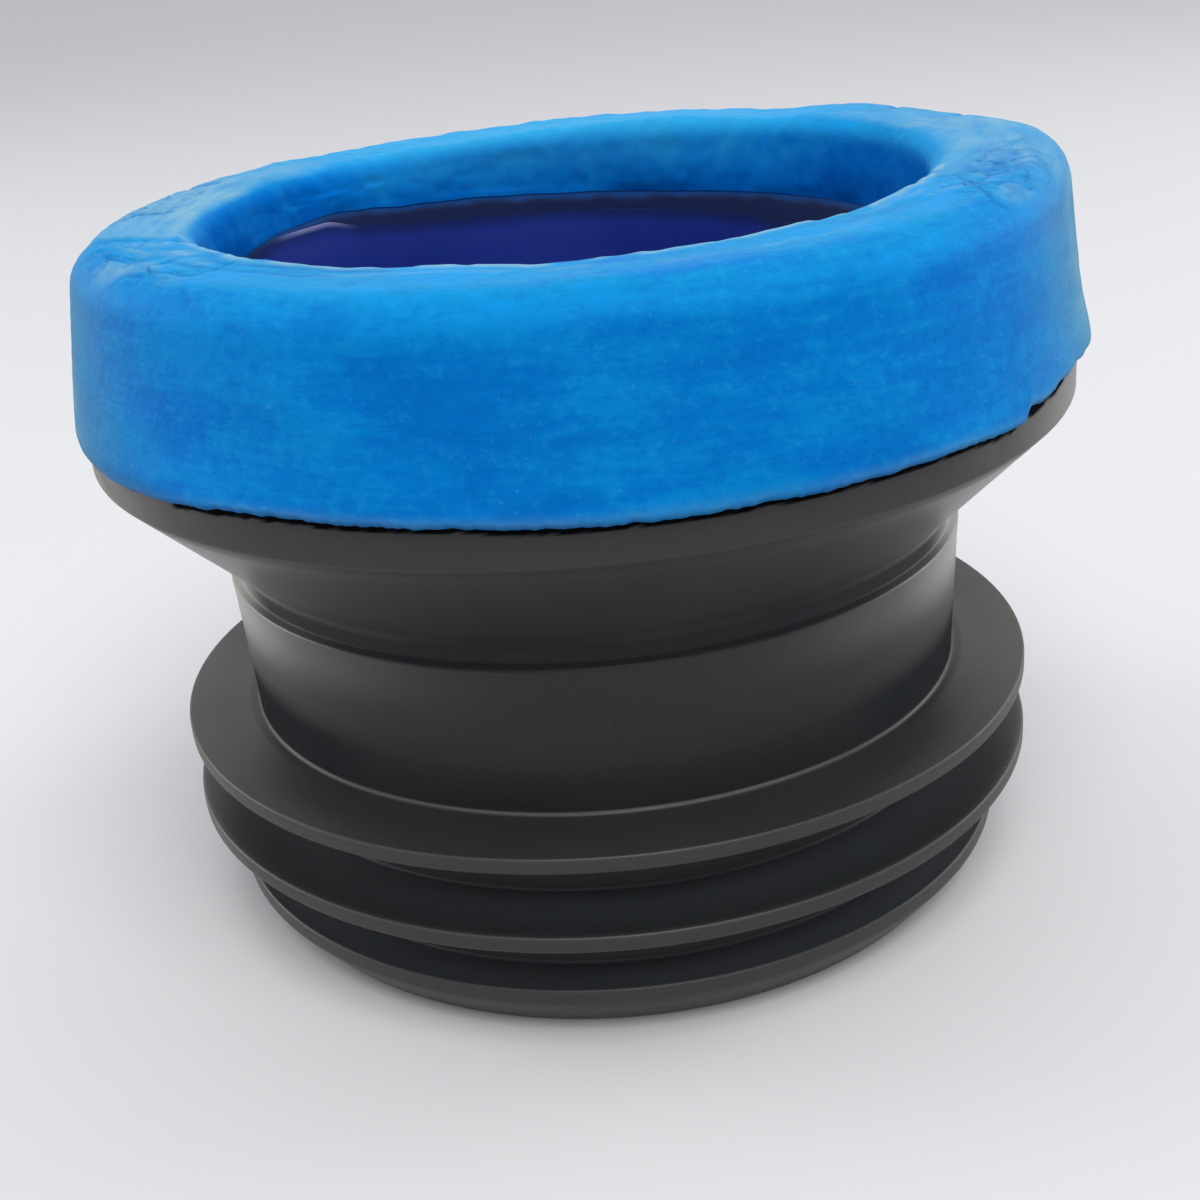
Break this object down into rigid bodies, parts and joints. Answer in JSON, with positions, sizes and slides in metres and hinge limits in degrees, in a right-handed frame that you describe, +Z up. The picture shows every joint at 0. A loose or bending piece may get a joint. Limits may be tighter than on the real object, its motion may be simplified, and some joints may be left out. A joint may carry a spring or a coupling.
{
  "type": "toilet flange ring",
  "caption": "Rubber funnel seal with pipe fins, a plastic liner and a hand-laid putty ring, joining a toilet outlet to a drain pipe.",
  "frame": {"origin": "on the ring's axis, in the plane of the foot that it stands on", "axes": "+Z up along the ring's axis, from the foot to the putty crown; +X and +Y across it"},
  "size_m": [0.1242, 0.123, 0.088],
  "materials": {
    "black_rubber": "matte moulded",
    "indigo_plastic": "gloss",
    "blue_putty": "matte, pressed by hand"
  },
  "bodies": {
    "root": {"rubber_body": "black_rubber", "inner_sleeve": "indigo_plastic", "putty_ring": "blue_putty"}
  },
  "joints": []
}
